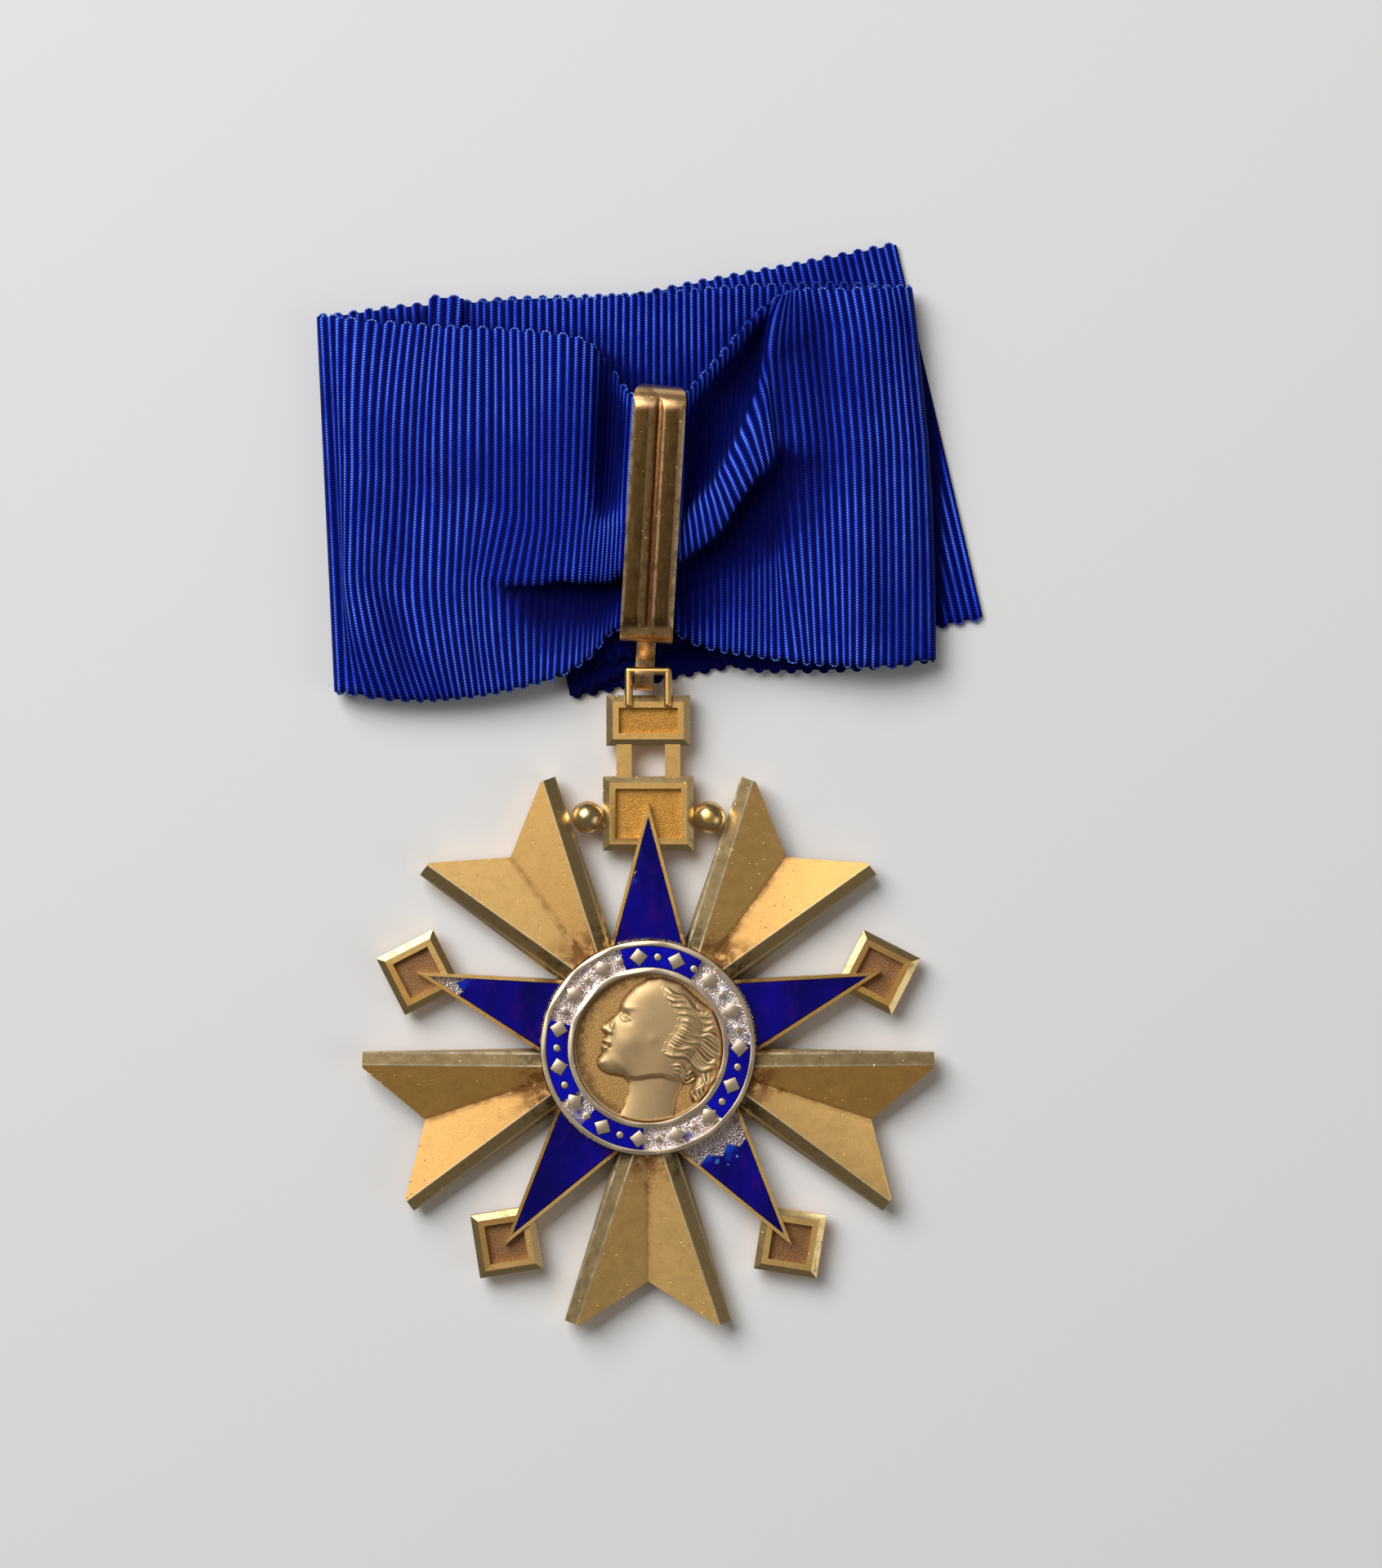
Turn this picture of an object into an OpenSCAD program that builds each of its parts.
// An order neck badge lying on its folded neck ribbon, seen from the front along -Z.
// The origin is under the middle of the medallion, on the surface that the badge rests on.

/* [Star] */
// Height of the plain boss at the back that the badge rests on
boss_h = 1.0; // [0.6:0.1:2]
// Diameter of that boss
boss_d = 19; // [14:0.5:20]
// Radius over the ray tips
ray_r = 30; // [28:0.5:34]
// Depth of the swallow tail at a ray's end
tail_depth = 5.4; // [3:0.2:8]
// Angle between a ray's axis and each of its sides
ray_flare = 18.5; // [16:0.5:20]
// Height of a ray's crests above the plate's back
ray_h = 2.3; // [1.8:0.1:3]
// Height of a ray's side walls
ray_side_h = 1.4; // [0.8:0.1:1.7]
// Width of the bevel between a side wall and the crest
ray_bevel_w = 1.3; // [0.8:0.1:1.8]
// Fall of a ray's inner facet for each mm away from the crest
ray_valley_fall = 0.16; // [0.08:0.01:0.2]
// Thickness of the hub under the medallion
hub_h = 1.6; // [1.2:0.1:2]

/* [Enamel points] */
// Radius over a point's gold tip
point_r = 25.6; // [24:0.2:26]
// Angle between a point's axis and each of its sides
point_flare = 14.8; // [12:0.2:17]
// Height of the cell's gold rim
point_h = 2.2; // [1.8:0.1:2.8]
// Width of that rim
point_rim_w = 0.35; // [0.3:0.05:0.8]
// Depth of the cell that holds the enamel
cell_depth = 0.9; // [0.5:0.1:1.3]
// Depth of the enamel's surface under the rim
enamel_drop = 0.1; // [0:0.05:0.3]
// Gap between the enamel and the gold
enamel_gap = 0.06; // [0.03:0.01:0.15]

/* [Diamond frames] */
// Side of a diamond frame
diamond_side = 6.65; // [5:0.1:7.5]
// Radius of a diamond frame's middle
diamond_r = 25.3; // [24.5:0.1:27]
// Width of the bevelled frame bar, for the diamonds and the square frames
frame_bar_w = 1.3; // [0.8:0.1:1.6]
// Height of the frames above the plate's back
frame_h = 1.8; // [1.3:0.1:2.1]
// Thickness of the sunk field inside the frames
field_h = 0.9; // [0.5:0.1:1.2]

/* [Suspension] */
// Size of the square frame behind the top point, across and along
square_w = 9.5; // [8:0.1:11]
square_l = 7.8; // [6.5:0.1:9]
// Distance from the middle of the star to the square frame's middle
square_y = 24.5; // [23.5:0.1:26]
// Diameter of the two balls beside the square frame
ball_d = 3.44; // [2.6:0.1:3.8]
// Width of the two bars above the square frame
bar_w = 1.6; // [1.2:0.1:2.4]
// Gap between the two bars
bar_gap = 3.5; // [2:0.1:4]
// Length of the two bars
bar_l = 3.2; // [2:0.1:5]
// Size of the upper frame, across and along
upper_w = 8.8; // [7:0.1:10]
upper_l = 5.3; // [4.5:0.1:7]
// Size of the staple over all, across and along
staple_w = 5.0; // [4.4:0.1:6]
staple_l = 3.0; // [2.8:0.1:4]
// Diameter of the staple's wire
staple_wire_d = 0.9; // [0.7:0.05:1.1]
// Height of the staple's middle above the plate's back
staple_z = 1.95; // [1.8:0.05:2.4]

/* [Medallion] */
// Outer radius of the medallion ring
ring_r = 11.2; // [10.5:0.1:12]
// Height of the medallion ring
ring_h = 1.65; // [1.3:0.05:2.2]
// Width of the ring's outer rim
ring_outer_rim_w = 0.5; // [0.3:0.05:0.8]
// Width of the ring's enamel band
band_w = 2.3; // [1.8:0.1:2.8]
// Width of the ring's inner rim
ring_inner_rim_w = 0.55; // [0.3:0.05:0.8]
// Depth of the band's channel
band_depth = 0.7; // [0.4:0.05:1]
// Number of lozenge and pellet pairs round the band
ornament_pairs = 15; // [9:1:18]
// Width of a lozenge of the band
lozenge_w = 1.3; // [0.8:0.1:1.6]
// Diameter of a pellet of the band
pellet_d = 0.7; // [0.4:0.1:1]
// Thickness of the disc's field
disc_h = 0.85; // [0.6:0.05:1.2]
// Height of the head's relief above the field
relief_h = 1.25; // [0.6:0.05:1.6]
// Height of the head from chin to crown
head_h = 11.2; // [9:0.1:12]
// How far the head leans back
head_lean = 24; // [0:1:30]

/* [Bail] */
// Length of the ribbon loop
bail_l = 26.8; // [24:0.2:32]
// Width of its band
bail_w = 5.5; // [4:0.1:7]
// Thickness of its band
bail_t = 0.9; // [0.6:0.05:1.2]
// Depth of the loop over all
bail_depth = 5.7; // [5.4:0.1:7]
// Depth of the groove along its front
bail_groove = 0.35; // [0.15:0.05:0.5]
// Lean of the loop across the table
bail_lean = 3.3; // [0:0.1:6]
// Slope of the loop up from the table
bail_tilt = 2; // [1.5:0.5:4]
// Distance from the hook's middle to the loop's lower end
neck_l = 3.35; // [3.2:0.05:4.5]
// Width of the neck and hook
hook_w = 2.0; // [1.8:0.1:2.6]
// Thickness of the neck and hook
hook_t = 0.75; // [0.6:0.05:0.9]
// Inner radius of the hook
hook_inner_r = 0.95; // [0.85:0.05:1.1]

/* [Ribbon] */
// Width of the ribbon
ribbon_w = 40.2; // [36:0.2:42]
// Thickness of the ribbon's wall
ribbon_t = 1.0; // [1:0.05:1.04]
// Height from one folded layer to the next
layer_pitch = 1.08; // [1.08:0.01:1.12]
// Width of the folded pile from its left fold to its right fold
pile_w = 65; // [60:0.5:80]
// Distance from the middle of the star to the pile's lower edge
pile_y = 38.6; // [38.6:0.1:40]

/* [Hidden] */
$fn = 64;
GOLD = [0.85, 0.69, 0.42];
TARNISHED = [0.45, 0.36, 0.25];
BLUE = [0.10, 0.11, 0.55];
SILVER = [0.75, 0.70, 0.65];
CLOTH = [0.08, 0.18, 0.62];

// Small overlap that joins two solids into one, and the reach of a cutting block
join = 0.2;
reach = 80;

// Angles of the ray axes and of the enamel points, counter-clockwise from +X
ray_step = 72;
ray_angles = [for (i = [0:4]) 54 + ray_step * i];
TOP = 90;
UPPER_RIGHT = 18;
LOWER_RIGHT = 306;
LOWER_LEFT = 234;
UPPER_LEFT = 162;
point_angles = [TOP, UPPER_RIGHT, LOWER_RIGHT, LOWER_LEFT, UPPER_LEFT];

// Distance from the star's middle to the place where a ray's two sides would meet
ray_apex = 2.5;
// Angle between a ray's axis and the two corners at each of its tips
tip_inner_angle = 13.9;
tip_outer_angle = 17;

// How far the hub stays inside the ring's edge, and the room round the ring's seat
hub_inset = 0.3;
seat_clear = 0.15;
// The frame bars' bevel as a share of their width, and its slope
frame_bevel_share = 0.6;
frame_bevel_slope = 30;
// The balls' place: below the square frame's middle line, and up as a share of their diameter
ball_drop = 0.4;
ball_rise_share = 0.35;
// How far the two bars stay from the back and the front of the frames
bar_relief = 0.3;
// The staple's feet stand this share of a frame bar inside the upper frame
staple_foot_share = 0.7;
// Half the width of the bevel along each edge of the bail
bail_bevel = 0.25;
// The groove starts this far from the lower bend and ends this far from the upper one
groove_from = 1;
groove_to = 1;
// The neck is level up to this distance from the hook's middle, then rises into the loop,
// which it enters this far past the loop's lower end
neck_flat = 1.5;
neck_in = 1.2;

plate_z = boss_h;
hub_top = plate_z + hub_h;
ring_z = hub_top + enamel_gap;
ring_inner_r = ring_r - ring_outer_rim_w - band_w - ring_inner_rim_w;
band_r1 = ring_r - ring_outer_rim_w;
band_r0 = band_r1 - band_w;
band_z = ring_z + ring_h - band_depth;
ring_seat_r = ring_r + seat_clear;

square_top = square_y + square_l / 2;
upper_y = square_top + bar_l + upper_l / 2;
upper_top = upper_y + upper_l / 2;
bar_y = upper_top + staple_l - staple_wire_d / 2;
bar_z = plate_z + staple_z;

hook_outer_r = hook_inner_r + hook_t;
hook_clearance = 0.15;
// The hook hangs this far to the left of the staple's middle
hook_x = -0.4;
hook_y = bar_y - (hook_inner_r - staple_wire_d / 2 - hook_clearance);
loop_y0 = neck_l;
loop_y1 = neck_l + bail_l;
// The back strip's underside clears the two ribbon layers that lie under it
bail_under_z = ribbon_t + layer_pitch + 0.22;
loop_under = bail_under_z - bar_z - loop_y0 * sin(bail_tilt);
loop_inner_r = bail_depth / 2 - bail_t;
loop_mid_z = loop_under + bail_depth / 2;

// Star

function polar(r, a) = [r * cos(a), r * sin(a)];

module above_plane(slope) {
    // everything above a plane that rises toward +Y from the X axis
    rotate([slope, 0, 0]) translate([-reach, -reach, 0]) cube(2 * reach);
}

module ray() {
    slope_out = atan((ray_h - ray_side_h) / ray_bevel_w);
    slope_in = atan(ray_valley_fall);
    outline = [[0, 0], polar(ray_r, -tip_outer_angle), polar(ray_r, -tip_inner_angle),
        [ray_r - tail_depth, 0], polar(ray_r, tip_inner_angle), polar(ray_r, tip_outer_angle)];
    difference() {
        translate([0, 0, plate_z]) linear_extrude(ray_h + 1) polygon(outline);
        // the valley between the two crests
        intersection_for(side = [-1, 1])
            translate([ray_apex, 0, plate_z + ray_h]) rotate([0, 0, side * ray_flare])
                translate([0, -side * ray_bevel_w, 0]) above_plane(side * slope_in);
        // the bevel outside each crest
        for (side = [-1, 1])
            translate([ray_apex, 0, plate_z + ray_h]) rotate([0, 0, side * ray_flare])
                translate([0, -side * ray_bevel_w, 0]) above_plane(-side * slope_out);
    }
}

module point_outline(inset, from_r) {
    // the triangle of a point, drawn inward by inset and cut off inside from_r
    tip = point_r - inset / sin(point_flare);
    half = (tip - from_r) * tan(point_flare);
    polygon([[tip, 0], [from_r, half], [from_r, -half]]);
}

module point_body() {
    translate([0, 0, plate_z]) linear_extrude(point_h) point_outline(0, ring_inner_r);
}

module cell_space() {
    translate([0, 0, plate_z + point_h - cell_depth]) linear_extrude(cell_depth + 1)
        point_outline(point_rim_w, ring_inner_r);
}

module sunk_frame(w, l) {
    // a plate with a bevelled frame bar round a sunk field, its back at z = 0
    bevel = frame_bar_w * frame_bevel_share;
    drop = frame_h - field_h;
    difference() {
        translate([-w / 2, -l / 2, 0]) cube([w, l, frame_h]);
        translate([-w / 2 + frame_bar_w, -l / 2 + frame_bar_w, field_h])
            cube([w - 2 * frame_bar_w, l - 2 * frame_bar_w, drop + 1]);
        for (side = [-1, 1]) {
            translate([side * w / 2, 0, frame_h - bevel / 2]) rotate([0, side * frame_bevel_slope, 0])
                translate([-bevel, -l, 0]) cube([2 * bevel, 2 * l, 2]);
            translate([0, side * l / 2, frame_h - bevel / 2]) rotate([-side * frame_bevel_slope, 0, 0])
                translate([-w, -bevel, 0]) cube([2 * w, 2 * bevel, 2]);
        }
    }
}

module diamonds() {
    for (a = [UPPER_RIGHT, LOWER_RIGHT, LOWER_LEFT, UPPER_LEFT])
        rotate([0, 0, a]) translate([diamond_r, 0, plate_z]) rotate([0, 0, 45])
            sunk_frame(diamond_side, diamond_side);
}

module suspension() {
    ball_x = square_w / 2 + ball_d / 2 - join / 2;
    translate([0, square_y, plate_z]) sunk_frame(square_w, square_l);
    for (side = [-1, 1]) {
        translate([side * ball_x, square_y - ball_drop, plate_z + ball_d * ball_rise_share])
            sphere(d = ball_d);
        translate([side * (bar_gap + bar_w) / 2 - bar_w / 2, square_top - join, plate_z + bar_relief])
            cube([bar_w, bar_l + 2 * join, frame_h - 2 * bar_relief]);
    }
    translate([0, upper_y, plate_z]) sunk_frame(upper_w, upper_l);
    staple();
}

module staple() {
    leg_x = (staple_w - staple_wire_d) / 2;
    foot = frame_bar_w * staple_foot_share;
    for (side = [-1, 1]) {
        translate([side * leg_x, upper_top - foot, bar_z]) rotate([-90, 0, 0])
            cylinder(d = staple_wire_d, h = bar_y - upper_top + foot);
        translate([side * leg_x, upper_top - foot, plate_z + field_h])
            cylinder(d = staple_wire_d, h = bar_z - plate_z - field_h);
        translate([side * leg_x, upper_top - foot, bar_z]) sphere(d = staple_wire_d);
        translate([side * leg_x, bar_y, bar_z]) sphere(d = staple_wire_d);
    }
    translate([-leg_x, bar_y, bar_z]) rotate([0, 90, 0])
        cylinder(d = staple_wire_d, h = 2 * leg_x);
}

module star() {
    color(GOLD) difference() {
        union() {
            cylinder(d = boss_d, h = boss_h + join);
            translate([0, 0, plate_z]) cylinder(r = ring_r - hub_inset, h = hub_h);
            for (a = ray_angles) rotate([0, 0, a]) ray();
            for (a = point_angles) rotate([0, 0, a]) point_body();
            diamonds();
            suspension();
        }
        for (a = point_angles) rotate([0, 0, a]) cell_space();
        // the seat of the medallion ring
        translate([0, 0, hub_top]) cylinder(r = ring_seat_r, h = 10);
    }
}

// Enamel

module enamel_solid(angle) {
    top = plate_z + point_h - enamel_drop;
    floor_z = plate_z + point_h - cell_depth + enamel_gap;
    rotate([0, 0, angle]) difference() {
        translate([0, 0, floor_z]) linear_extrude(top - floor_z)
            point_outline(point_rim_w + enamel_gap, ring_inner_r + 1);
        translate([0, 0, -1]) cylinder(r = ring_seat_r + enamel_gap, h = 20);
    }
}

module chip(angle, points) {
    // a broken-off piece: an outline in shares of the point's length and half-width
    l = point_r - ring_seat_r;
    half = l * tan(point_flare);
    rotate([0, 0, angle]) translate([0, 0, -1]) linear_extrude(20)
        polygon([for (p = points) [ring_seat_r + p[0] * l, p[1] * half]]);
}

module enamel_point_top() {
    color(BLUE) difference() {
        enamel_solid(TOP);
        chip(TOP, [[0.50, 0.34], [0.56, 0.36], [0.62, 0.6], [0.45, 0.7]]);
    }
}

module enamel_point_upper_right() {
    color(BLUE) enamel_solid(UPPER_RIGHT);
}

module enamel_point_lower_right() {
    color(BLUE) difference() {
        enamel_solid(LOWER_RIGHT);
        chip(LOWER_RIGHT, [[-0.5, -1.5], [0.10, -1.5], [0.14, -0.80], [0.10, -0.45], [0.17, -0.10],
            [0.12, 0.20], [0.19, 0.45], [0.15, 0.85], [0.12, 1.5], [-0.5, 1.5]]);
    }
}

module enamel_point_lower_left() {
    color(BLUE) enamel_solid(LOWER_LEFT);
}

module enamel_point_upper_left() {
    color(BLUE) difference() {
        enamel_solid(UPPER_LEFT);
        chip(UPPER_LEFT, [[1.2, -1], [0.66, -1], [0.63, -0.25], [0.69, -0.05], [0.62, 0.12],
            [0.67, 0.3], [0.65, 1], [1.2, 1]]);
    }
}

// Medallion

module at_ornament(i) {
    // the place of ornament number i, counted round the band from +X
    rotate([0, 0, i * 180 / ornament_pairs]) translate([(band_r0 + band_r1) / 2, 0, 0]) children();
}

module ornaments(grow) {
    h = band_depth + (grow > 0 ? 1 : 0);
    for (i = [0:2 * ornament_pairs - 1])
        at_ornament(i) translate([0, 0, band_z])
            if (i % 2 == 0) rotate([0, 0, 45])
                translate([-lozenge_w / 2 - grow, -lozenge_w / 2 - grow, -join])
                    cube([lozenge_w + 2 * grow, lozenge_w + 2 * grow, h + join]);
            else translate([0, 0, -join]) cylinder(d = pellet_d + 2 * grow, h = h + join, $fn = 24);
}

module medallion_ring() {
    color(SILVER) union() {
        difference() {
            translate([0, 0, ring_z]) cylinder(r = ring_r, h = ring_h);
            translate([0, 0, ring_z - 1]) cylinder(r = ring_inner_r, h = ring_h + 2);
            translate([0, 0, band_z]) difference() {
                cylinder(r = band_r1, h = ring_h);
                translate([0, 0, -1]) cylinder(r = band_r0, h = ring_h + 2);
            }
        }
        ornaments(0);
    }
}

module enamel_arc(from_angle, to_angle) {
    mid = (from_angle + to_angle) / 2;
    half = (to_angle - from_angle) / 2;
    far = band_r1 * 2;
    color(BLUE) difference() {
        rotate([0, 0, mid]) intersection() {
            difference() {
                translate([0, 0, band_z + enamel_gap])
                    cylinder(r = band_r1 - enamel_gap, h = band_depth - enamel_gap - enamel_drop);
                cylinder(r = band_r0 + enamel_gap, h = 20);
            }
            translate([0, 0, band_z]) linear_extrude(band_depth)
                polygon([[0, 0], polar(far, -half), polar(far, half)]);
        }
        ornaments(enamel_gap);
    }
}

module enamel_arc_1() { enamel_arc(58, 106); }
module enamel_arc_2() { enamel_arc(164, 212); }
module enamel_arc_3() { enamel_arc(229, 267); }
module enamel_arc_4() { enamel_arc(316, 362); }

// The head's outline facing left, in shares of its height: forward of the ear, up from the chin
HEAD = [
    [0.20, 0.97], [0.33, 0.88], [0.41, 0.76], [0.435, 0.62], [0.42, 0.54], [0.47, 0.44],
    [0.525, 0.355], [0.45, 0.325], [0.46, 0.265], [0.43, 0.235], [0.45, 0.205], [0.41, 0.15],
    [0.43, 0.07], [0.36, 0.0], [0.12, 0.03], [0.05, -0.12], [0.10, -0.40], [-0.42, -0.40],
    [-0.34, 0.0], [-0.42, 0.28], [-0.50, 0.55], [-0.42, 0.80], [-0.22, 0.96], [0.0, 1.0]];
head_at = [-1.1, -4.0];

function head_frame(p) =
    // a place on the disc, in the head's own shares
    let (d = [p[0] - head_at[0], p[1] - head_at[1]])
    [-(d[0] * cos(head_lean) - d[1] * sin(head_lean)) / head_h,
        (d[0] * sin(head_lean) + d[1] * cos(head_lean)) / head_h];

function seg_distance(p, a, b) =
    let (ab = b - a, t = max(0, min(1, (p - a) * ab / (ab * ab)))) norm(p - a - t * ab);

function crossings(p, i = 0) =
    i >= len(HEAD) ? 0 :
    let (a = HEAD[i], b = HEAD[(i + 1) % len(HEAD)])
    ((a[1] > p[1]) != (b[1] > p[1])
        && p[0] < (b[0] - a[0]) * (p[1] - a[1]) / (b[1] - a[1]) + a[0] ? 1 : 0)
        + crossings(p, i + 1);

function depth_inside(p) =
    crossings(p) % 2 == 0 ? 0 :
    min([for (i = [0:len(HEAD) - 1]) seg_distance(p, HEAD[i], HEAD[(i + 1) % len(HEAD)])]);

function hair(p) =
    // waves that stream back from the temple
    let (back = max(0, min(1, (0.10 - p[0]) * 5)), up = max(0, min(1, (p[1] + 0.1) * 5)))
    0.14 * back * up * sin(360 * (p[1] * 7 + 0.25 * sin(360 * p[0] * 3)));

function relief(p) =
    let (q = head_frame(p), d = depth_inside(q), swell = 1 - pow(1 - min(1, d / 0.24), 2))
    d <= 0 ? 0 : relief_h * (0.72 * sqrt(swell) + hair(q) * min(1, d / 0.06));

module medallion_disc() {
    r = ring_inner_r - enamel_gap;
    rings = 26;
    sectors = 96;
    // the relief starts to fall to the field at this share of the radius
    fall_from = 0.94;
    top = [for (i = [1:rings]) for (j = [0:sectors - 1])
        let (
            p = polar(r * i / rings, 360 * j / sectors),
            s = max(0, min(1, (1 - i / rings) / (1 - fall_from))))
        [p[0], p[1], disc_h + relief(p) * s]];
    bottom = [for (j = [0:sectors - 1]) let (p = polar(r, 360 * j / sectors)) [p[0], p[1], 0]];
    middle = [[0, 0, disc_h + relief([0, 0])]];
    n = rings * sectors;
    function top_at(i, j) = i * sectors + j % sectors;
    color(TARNISHED) translate([0, 0, ring_z]) polyhedron(
        points = concat(top, bottom, middle),
        faces = concat(
            [for (i = [0:rings - 2]) for (j = [0:sectors - 1])
                [top_at(i, j), top_at(i, j + 1), top_at(i + 1, j + 1)]],
            [for (i = [0:rings - 2]) for (j = [0:sectors - 1])
                [top_at(i, j), top_at(i + 1, j + 1), top_at(i + 1, j)]],
            [for (j = [0:sectors - 1]) [n + sectors, top_at(0, j + 1), top_at(0, j)]],
            [for (j = [0:sectors - 1])
                [top_at(rings - 1, j), top_at(rings - 1, j + 1), n + (j + 1) % sectors]],
            [for (j = [0:sectors - 1]) [top_at(rings - 1, j), n + (j + 1) % sectors, n + j]],
            [[for (j = [0:sectors - 1]) n + j]]));
}

// Bail, drawn from the hook's middle with the loop toward +Y

module bar_across(y, z, r, w) {
    translate([-w / 2, y, z]) rotate([0, 90, 0]) cylinder(r = r, h = w);
}

module stadium(r, w) {
    // the loop's side outline with end radius r, thickened across by w
    y0 = loop_y0 + bail_depth / 2;
    y1 = loop_y1 - bail_depth / 2;
    bar_across(y0, loop_mid_z, r, w);
    bar_across(y1, loop_mid_z, r, w);
    translate([-w / 2, y0, loop_mid_z - r]) cube([w, y1 - y0, 2 * r]);
}

module loop() {
    front = loop_mid_z + bail_depth / 2;
    difference() {
        stadium(bail_depth / 2, bail_w);
        stadium(loop_inner_r, bail_w + 2);
        // the groove along the front and the bevel along each of its edges
        translate([0, loop_y0 + groove_from, front]) rotate([-90, 45, 0])
            translate([-bail_groove, -bail_groove, 0])
                cube([2 * bail_groove, 2 * bail_groove, bail_l - groove_from - groove_to]);
        for (side = [-1, 1])
            translate([side * bail_w / 2, loop_y0, front]) rotate([-90, 45, 0])
                translate([-bail_bevel, -bail_bevel, -1]) cube([2 * bail_bevel, 2 * bail_bevel, bail_l + 2]);
    }
}

module hook() {
    // the curl round the staple's bar, open toward the front above the bar
    difference() {
        bar_across(0, 0, hook_outer_r, hook_w);
        bar_across(0, 0, hook_inner_r, hook_w + 2);
        translate([-5, 0, -5]) cube(10);
    }
    // the end of the curl, up to the bar's middle
    translate([-hook_w / 2, -join, hook_inner_r]) cube([hook_w, bar_y - hook_y + join, hook_t]);
    // the neck from under the bar up to the loop's back strip
    difference() {
        translate([-hook_w / 2, -join, -hook_outer_r]) cube([hook_w, loop_y0 + neck_in + join, 3]);
        translate([-hook_w, -1, -hook_inner_r]) cube([2 * hook_w, 1 + neck_flat, 5]);
        translate([-hook_w, neck_flat, -hook_inner_r]) rotate([neck_slope(), 0, 0])
            cube([2 * hook_w, reach, reach]);
        translate([-hook_w, neck_flat, -hook_outer_r]) rotate([neck_slope() - 90, 0, 0])
            cube([2 * hook_w, reach, reach]);
    }
}

function neck_slope() = atan((loop_under + bail_t + hook_inner_r) / (loop_y0 + neck_in - neck_flat));

module bail() {
    color(GOLD) translate([hook_x, hook_y, bar_z]) rotate([0, 0, -bail_lean]) rotate([bail_tilt, 0, 0]) {
        loop();
        hook();
    }
}

// Ribbon

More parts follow.
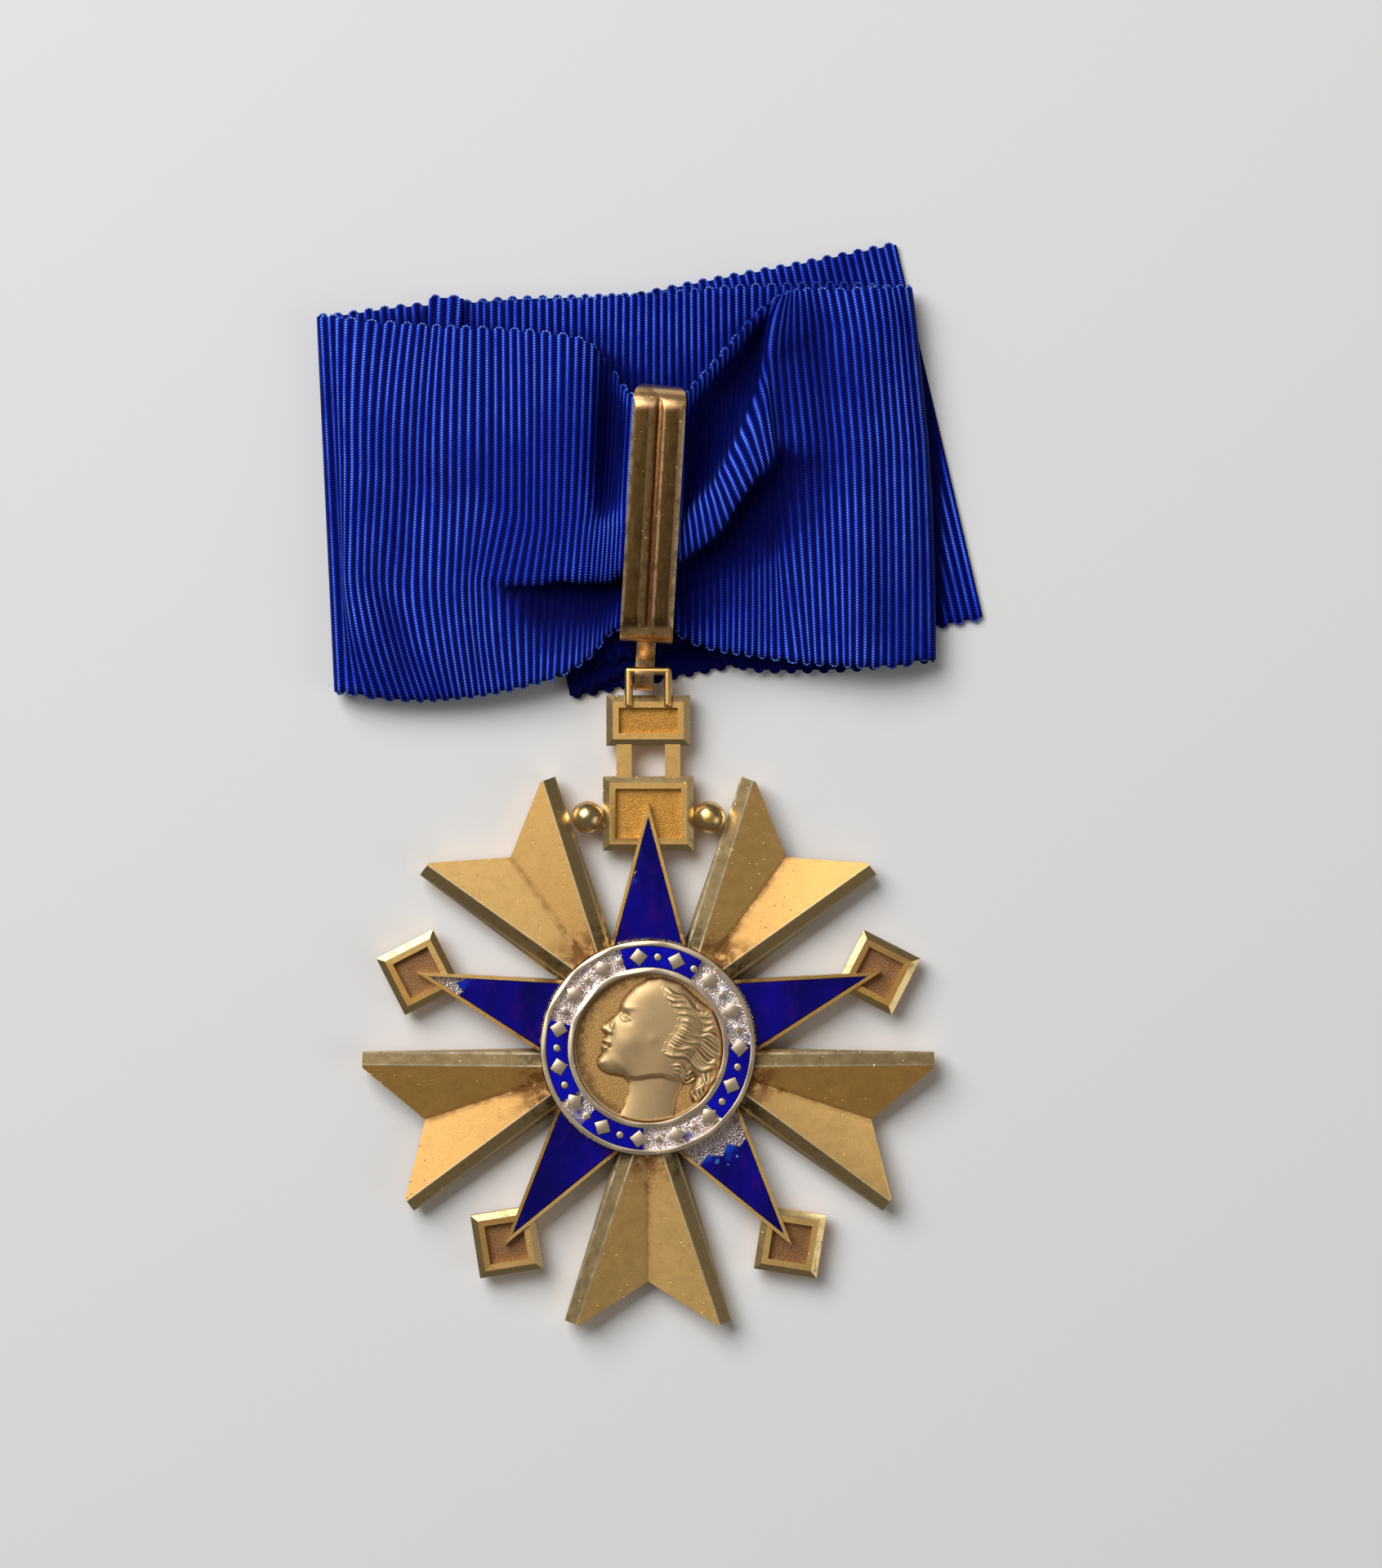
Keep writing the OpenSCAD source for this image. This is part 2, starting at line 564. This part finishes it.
// The sections of the ribbon along its length, from its free end under the front layer.
// across_low, up_low: the lower end, as a share of pile_w from the star's axis and of ribbon_w from pile_y
// across_top, up_top: the upper end, in the same way
// level_low, level_top: the layer that each end lies on, counted from the table
// crest: where the gathered fold's lower turn is, as a share of the section, or 0 where none is
// roll: how many layers the upper edge is let down
// gather: 1 where the section lies inside the bail
// turn: 1 or -1 where the ribbon turns back round a fold on the right or on the left
SECTIONS = [
    [-0.326, -0.015, -0.357, 0.990, 1.00, 1.00, 0.00, 0.00, 0.0, 0],
    [-0.255, -0.012, -0.335, 0.990, 1.00, 1.00, 0.00, 0.00, 0.0, 0],
    [-0.195, -0.010, -0.316, 0.990, 1.00, 1.00, 0.00, 0.00, 0.0, 0],
    [-0.166, -0.008, -0.287, 0.990, 2.00, 2.00, 0.00, 0.00, 0.0, 0],
    [-0.144, -0.005, -0.263, 0.990, 3.10, 3.10, 0.00, 0.00, 0.0, 0],
    [-0.098, 0.000, -0.190, 1.000, 3.10, 3.10, 0.00, 0.00, 0.0, 0],
    [-0.080, 0.030, -0.166, 1.000, 2.30, 2.20, 0.00, 0.00, 0.0, 0],
    [-0.064, 0.100, -0.140, 1.005, 1.10, 1.10, 0.00, 0.00, 0.0, 0],
    [-0.040, 0.125, -0.092, 1.005, 1.00, 1.00, 0.00, 0.00, 0.0, 0],
    [0.050, 0.125, 0.018, 1.020, 1.00, 1.00, 0.00, 0.00, 0.0, 0],
    [0.090, 0.050, 0.060, 1.030, 1.00, 1.00, 0.00, 0.00, 0.0, 0],
    [0.250, 0.030, 0.220, 1.040, 1.00, 1.00, 0.00, 0.00, 0.0, 0],
    [0.430, 0.045, 0.395, 1.030, 1.00, 1.00, 0.00, 0.00, 0.0, 1],
    [0.430, 0.055, 0.395, 1.020, 3.00, 2.90, 0.50, 0.00, 0.0, 0],
    [0.370, 0.035, 0.335, 1.015, 3.90, 3.50, 0.70, 0.00, 0.0, 0],
    [0.280, 0.040, 0.250, 1.015, 4.20, 3.60, 0.80, 0.25, 0.0, 0],
    [0.215, 0.055, 0.208, 0.990, 3.85, 2.98, 0.71, 0.65, 0.0, 0],
    [0.160, 0.070, 0.165, 0.925, 3.65, 3.15, 0.72, 1.70, 0.0, 0],
    [0.114, 0.082, 0.118, 0.835, 3.12, 3.23, 0.58, 1.27, 0.0, 0],
    [0.082, 0.100, 0.088, 0.775, 3.33, 3.20, 0.48, 1.32, 0.3, 0],
    [0.056, 0.120, 0.072, 0.730, 3.15, 3.42, 0.35, 1.00, 1.0, 0],
    [0.000, 0.130, 0.016, 0.730, 3.00, 3.58, 0.30, 1.12, 1.0, 0],
    [-0.056, 0.130, -0.040, 0.730, 2.93, 3.43, 0.33, 0.88, 1.0, 0],
    [-0.080, 0.105, -0.068, 0.825, 3.70, 3.65, 0.28, 1.00, 0.1, 0],
    [-0.104, 0.055, -0.096, 0.880, 4.17, 3.63, 0.29, 0.95, 0.0, 0],
    [-0.146, 0.015, -0.142, 0.905, 4.58, 3.93, 0.30, 0.93, 0.0, 0],
    [-0.190, -0.005, -0.200, 0.925, 4.25, 4.55, 0.31, 0.53, 0.0, 0],
    [-0.270, -0.030, -0.290, 0.935, 4.10, 4.50, 0.50, 0.00, 0.0, 0],
    [-0.370, -0.040, -0.395, 0.940, 3.40, 3.40, 0.50, 0.00, 0.0, 0],
    [-0.445, -0.038, -0.475, 0.945, 2.80, 2.80, 0.50, 0.00, 0.0, 0],
    [-0.487, -0.030, -0.518, 0.955, 2.20, 2.20, 0.50, 0.00, 0.0, -1],
    [-0.487, -0.030, -0.518, 0.958, 0.00, 0.00, 0.00, 0.00, 0.0, 0],
    [-0.400, -0.015, -0.440, 0.985, 0.00, 0.00, 0.00, 0.00, 0.0, 0],
    [-0.280, -0.008, -0.360, 0.990, 0.00, 0.00, 0.00, 0.00, 0.0, 0],
    [-0.190, -0.003, -0.311, 0.998, 0.00, 0.00, 0.00, 0.00, 0.0, 0],
    [-0.162, 0.000, -0.283, 1.000, 1.00, 1.00, 0.00, 0.00, 0.0, 0],
    [-0.140, 0.000, -0.260, 1.003, 2.00, 2.00, 0.00, 0.00, 0.0, 0],
    [-0.108, 0.002, -0.200, 1.003, 2.00, 2.00, 0.00, 0.00, 0.0, 1],
    [-0.108, 0.002, -0.200, 1.003, 1.00, 1.00, 0.00, 0.00, 0.0, 0],
    [-0.116, -0.042, -0.238, 0.940, 1.00, 1.00, 0.00, 0.00, 0.0, -1],
    [-0.116, -0.042, -0.238, 0.940, 0.00, 0.00, 0.00, 0.00, 0.0, 0],
    [0.100, 0.026, -0.026, 1.008, 0.00, 0.00, 0.00, 0.00, 0.0, 0],
    [0.320, 0.094, 0.190, 1.078, 0.00, 0.00, 0.00, 0.00, 0.0, 0],
    [0.541, 0.164, 0.401, 1.147, 0.00, 0.00, 0.00, 0.00, 0.0, 0]];

// The gathered part lies between the two ends of the loop: it clears the strips by the first
// measure and the bends by the second
gather_clear = 0.12;
bend_clear = 0.6;
turn_steps = 6;
across_steps = 12;
// The cloth that a section has to spare before its step up becomes a fold, the length of that
// step, and how fast the fold then grows
fold_start = 2;
step_run = 1.2;
lowest_crest = 0.26;
slack = 0.8;
// Height from one layer of the gathered fold to the next
fold_pitch = (bail_depth - 2 * bail_t - 2 * gather_clear - ribbon_t) / 2;
fold_share = 1.35;
// How much wider apart those layers lie outside the bail
loose_pitch = 1.2;
// A corner of the wall is drawn out no further than this allows
least_lean = 0.75;

// A place inside the bail in the part's frame, from its own y and z
function bail_point(x, y, z) =
    let (yt = y * cos(bail_tilt) - z * sin(bail_tilt), zt = y * sin(bail_tilt) + z * cos(bail_tilt))
    [hook_x + x * cos(bail_lean) + yt * sin(bail_lean), hook_y - x * sin(bail_lean) + yt * cos(bail_lean),
        bar_z + zt];

function mix(a, b, t) = a + (b - a) * t;
function smooth(t) = let (c = max(0, min(1, t))) c * c * (3 - 2 * c);

// One end of a section: on its layer, or inside the bail, or between the two
function section_end(across, up, level, share, gather) =
    let (
        y_in = mix(loop_y0 + bail_t + bend_clear, loop_y1 - bail_t - bend_clear, share),
        z_in = loop_under + bail_t + gather_clear + ribbon_t / 2,
        x = across * pile_w,
        free = [x, pile_y + up * ribbon_w, ribbon_t / 2 + level * layer_pitch],
        held = bail_point(x, y_in, z_in))
    mix(free, [x + hook_x, held[1], held[2]], gather);

// The sections between the rows of the table, with the half circles where the ribbon turns back
function expanded(i = 0) =
    i >= len(SECTIONS) - 1 ? [section(SECTIONS[i])] :
    let (a = section(SECTIONS[i]), b = section(SECTIONS[i + 1]), turn = SECTIONS[i][9])
    concat([a], turn == 0 ? [mixed(a, b, 0.5)] :
        [for (k = [1:turn_steps - 1]) turned(a, b, turn, k / turn_steps)], expanded(i + 1));

// A section: its two ends, then crest, roll and gather
function section(row) = [
    section_end(row[0], row[1], row[4], 0, row[8]),
    section_end(row[2], row[3], row[5], 1, row[8]),
    row[6], row[7], row[8]];

function mixed(a, b, t) = [for (k = [0:4]) mix(a[k], b[k], t)];

function turned(a, b, side, t) =
    // a half circle of height a to b whose ends are a and b
    let (m = mixed(a, b, (1 - cos(180 * t)) / 2), bulge = side * sin(180 * t) / 2)
    [[m[0][0] + bulge * abs(b[0][2] - a[0][2]), m[0][1], m[0][2]],
        [m[1][0] + bulge * abs(b[1][2] - a[1][2]), m[1][1], m[1][2]], m[2], m[3], m[4]];

// The points across one section, with the gathered fold where it is narrower than the ribbon
function across(s) =
    let (
        low = s[0], top = s[1], span = norm(top - low),
        spare = s[2] == 0 ? 0 : max(0, (ribbon_w - span) / 2 - slack),
        folded = smooth(spare / fold_start),
        pitch = fold_pitch * mix(loose_pitch, 1, s[4]),
        lap = (spare < fold_start ? -step_run - (fold_start - spare) * 3
            : (spare - fold_start) * fold_share - step_run) / span,
        b = max(lowest_crest, s[2]) - min(0, lap) / 2 - max(0, lap) / 5,
        a = b + lap,
        e = max(0, -lap) * 0.25 * (1 - folded),
        c = a - e,
        d = b + e,
        u = [0, c / 3, c * 2 / 3, c * 0.88, c, a + e, (a + b) / 2, b - e, d, mix(d, 1, 0.2),
            mix(d, 1, 0.45), mix(d, 1, 0.75), 1],
        steep = 0.4 * max(0, 1 - abs(lap) * span / step_run),
        h = [0, 0, 0, 0, 0, 1 - steep, 1, 1 + steep, 2, 2, 2, 2, 2])
    [for (k = [0:across_steps])
        let (
            p = mix(low, top, u[k]),
            edge_lift = s[4] * max(0, 1 - u[k] / (0.6 * b)),
            past = (u[k] - max(a, b)) / (1 - max(a, b)),
            let_down = s[3] * (k <= 8 ? 0 : pow(max(0, past), 1.5)))
        [p[0], p[1], p[2] + pitch * folded * (h[k] + edge_lift - let_down)]];

function unit(v) = v / max(norm(v), 1e-9);

// The outward offset of a wall's two skins at one point of the middle surface
function skin(grid, i, j) =
    let (
        n = len(grid) - 1,
        m = across_steps,
        p = grid[i][j],
        e = grid[min(i + 1, n)][j],
        w = grid[max(i - 1, 0)][j],
        t = grid[i][min(j + 1, m)],
        s = grid[i][max(j - 1, 0)],
        faces = [
            if (i < n && j < m) unit(cross(e - p, t - p)),
            if (i > 0 && j < m) unit(cross(p - w, t - p)),
            if (i < n && j > 0) unit(cross(e - p, p - s)),
            if (i > 0 && j > 0) unit(cross(p - w, p - s))],
        total = sum(faces),
        normal = unit(total),
        lean = max(least_lean, sum([for (f = faces) f * normal]) / len(faces)))
    normal * ribbon_t / 2 / lean;

function sum(v, i = 0) = i >= len(v) - 1 ? v[i] : v[i] + sum(v, i + 1);

module ribbon() {
    rows = expanded();
    grid = [for (s = rows) across(s)];
    n = len(grid);
    m = across_steps + 1;
    front = [for (i = [0:n - 1]) for (j = [0:m - 1]) grid[i][j] + skin(grid, i, j)];
    back = [for (i = [0:n - 1]) for (j = [0:m - 1]) grid[i][j] - skin(grid, i, j)];
    function f(i, j) = i * m + j;
    function g(i, j) = n * m + i * m + j;
    color(CLOTH) polyhedron(
        points = concat(front, back),
        faces = concat(
            [for (i = [0:n - 2]) for (j = [0:m - 2]) each [
                [f(i, j), f(i, j + 1), f(i + 1, j + 1)], [f(i, j), f(i + 1, j + 1), f(i + 1, j)],
                [g(i, j), g(i + 1, j + 1), g(i, j + 1)], [g(i, j), g(i + 1, j), g(i + 1, j + 1)]]],
            [for (i = [0:n - 2]) each [
                [f(i, 0), f(i + 1, 0), g(i + 1, 0)], [f(i, 0), g(i + 1, 0), g(i, 0)],
                [f(i, m - 1), g(i + 1, m - 1), f(i + 1, m - 1)],
                [f(i, m - 1), g(i, m - 1), g(i + 1, m - 1)]]],
            [for (j = [0:m - 2]) each [
                [f(0, j), g(0, j), g(0, j + 1)], [f(0, j), g(0, j + 1), f(0, j + 1)],
                [f(n - 1, j), g(n - 1, j + 1), g(n - 1, j)],
                [f(n - 1, j), f(n - 1, j + 1), g(n - 1, j + 1)]]]));
}

star();
enamel_point_top();
enamel_point_upper_right();
enamel_point_lower_right();
enamel_point_lower_left();
enamel_point_upper_left();
medallion_ring();
enamel_arc_1();
enamel_arc_2();
enamel_arc_3();
enamel_arc_4();
medallion_disc();
bail();
ribbon();
